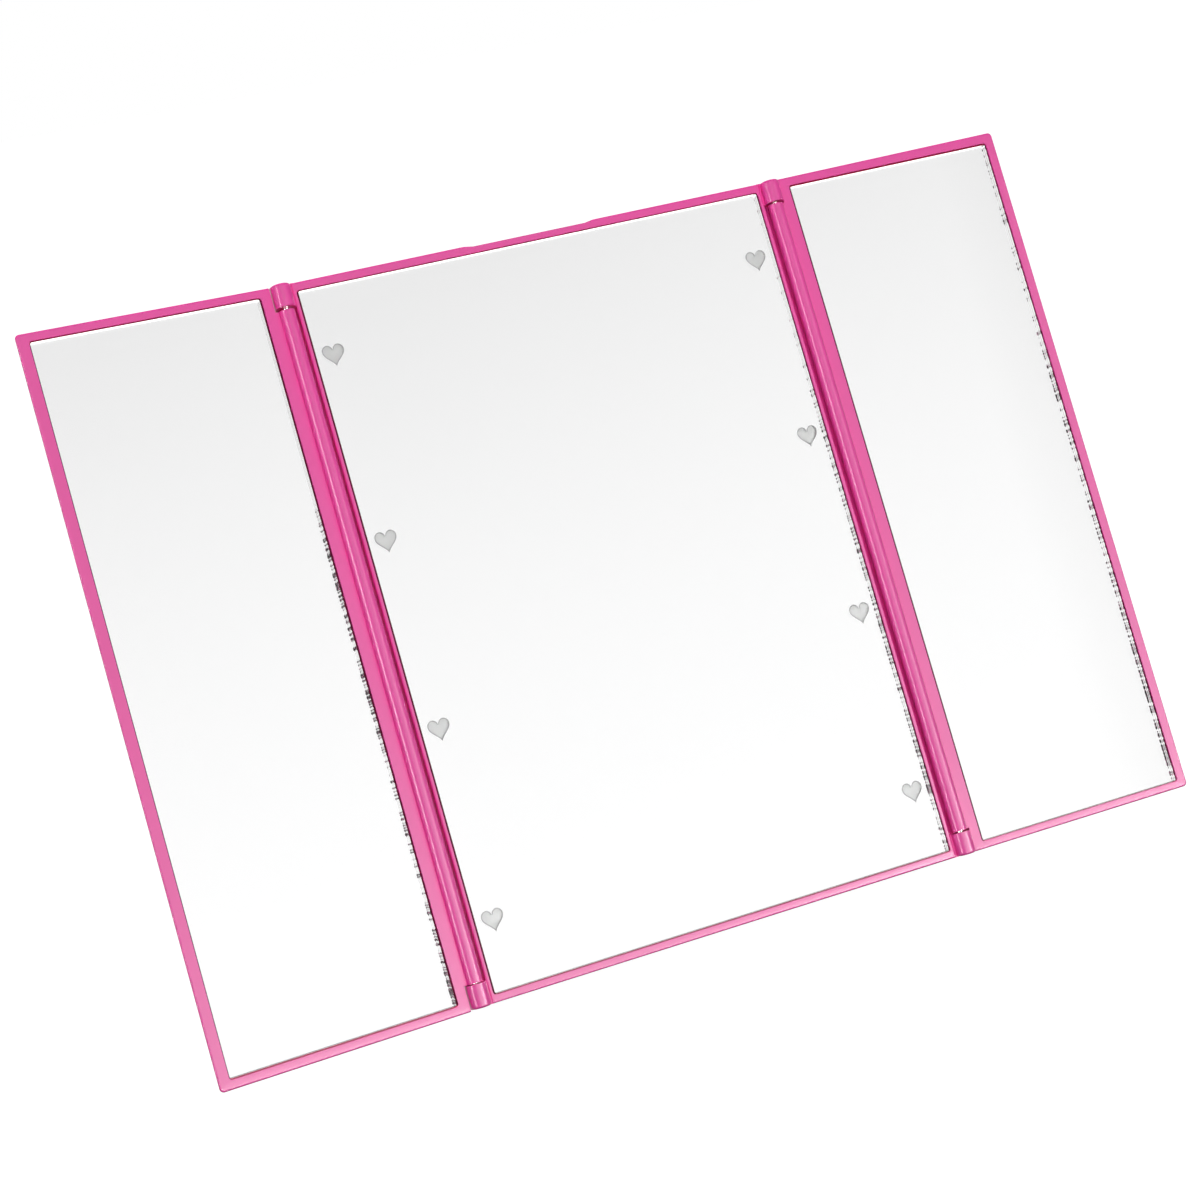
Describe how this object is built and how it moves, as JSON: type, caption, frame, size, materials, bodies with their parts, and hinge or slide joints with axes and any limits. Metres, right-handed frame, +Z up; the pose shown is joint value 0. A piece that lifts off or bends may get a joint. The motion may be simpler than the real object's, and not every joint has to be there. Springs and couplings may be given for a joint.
{
  "type": "tri-fold lighted makeup mirror",
  "caption": "Free-standing lighted makeup mirror: glossy casing with heart-shaped light windows, a folding mirror wing on each side, slide switch, battery bay and a fold-out stand behind.",
  "frame": {"origin": "middle of the flat along the rear bottom edge, where the open mirror stands on the table", "axes": "+X to the right of someone facing the mirror, +Y away from them, +Z up from the table"},
  "size_m": [0.2901, 0.0905, 0.1946],
  "materials": {
    "pink_plastic": "moulded gloss, hot pink",
    "clear_glass": "polished float glass",
    "silver_coat": "silvered, painted behind",
    "foam_tape": "white foam",
    "frosted_plastic": "frosted, lets light through",
    "circuit_board": "green solder mask",
    "lamp_body": "white case, clear lens",
    "resistor_body": "lacquered, beige",
    "steel": "zinc plated",
    "nickel_plate": "bright nickel",
    "cell_case": "plain satin",
    "white_plastic": "moulded satin",
    "wire_cover": "soft red cover"
  },
  "bodies": {
    "housing": {"centre_frame": "pink_plastic", "rear_cover": "pink_plastic", "centre_glass": "clear_glass", "centre_silvering": "silver_coat", "centre_tape": "foam_tape", "heart_diffusers": "frosted_plastic", "left_led_board": "circuit_board", "right_led_board": "circuit_board", "left_leds": "lamp_body", "right_leds": "lamp_body", "resistors": "resistor_body", "board_screws": "steel", "cover_screws": "steel", "batteries": "cell_case", "contact_springs": "nickel_plate", "contact_plates": "nickel_plate", "switch_body": "steel", "wires": "wire_cover", "stand_pin": "steel", "left_hinge_pins": "nickel_plate", "right_hinge_pins": "nickel_plate"},
    "left_wing": {"left_wing_frame": "pink_plastic", "left_wing_back": "pink_plastic", "left_glass": "clear_glass", "left_silvering": "silver_coat", "left_tape": "foam_tape"},
    "right_wing": {"right_wing_frame": "pink_plastic", "right_wing_back": "pink_plastic", "right_glass": "clear_glass", "right_silvering": "silver_coat", "right_tape": "foam_tape"},
    "stand": {"stand_leaf": "pink_plastic"},
    "door": {"battery_door": "pink_plastic"},
    "power_switch": {"switch_knob": "white_plastic"}
  },
  "joints": [
    {"name": "left_wing_fold", "type": "hinge", "parent": "housing", "child": "left_wing", "pos_m": [-0.07295, 0.02001, 0.09863], "axis": [0, 0.342, 0.9397], "range_deg": [-6, 174]},
    {"name": "right_wing_fold", "type": "hinge", "parent": "housing", "child": "right_wing", "pos_m": [0.07295, 0.02001, 0.09863], "axis": [0, -0.342, -0.9397], "range_deg": [-2, 178]},
    {"name": "stand_fold", "type": "hinge", "parent": "housing", "child": "stand", "pos_m": [0, 0.03608, 0.09703], "axis": [1, 0, 0], "range_deg": [-28, 0]},
    {"name": "door_swing", "type": "hinge", "parent": "housing", "child": "door", "pos_m": [0, 0.042, 0.10744], "axis": [-1, 0, 0], "range_deg": [0, 60]},
    {"name": "switch_slide", "type": "slide", "parent": "housing", "child": "power_switch", "axis": [0, 0.342, 0.9397], "range_m": [0, 0.004]}
  ]
}
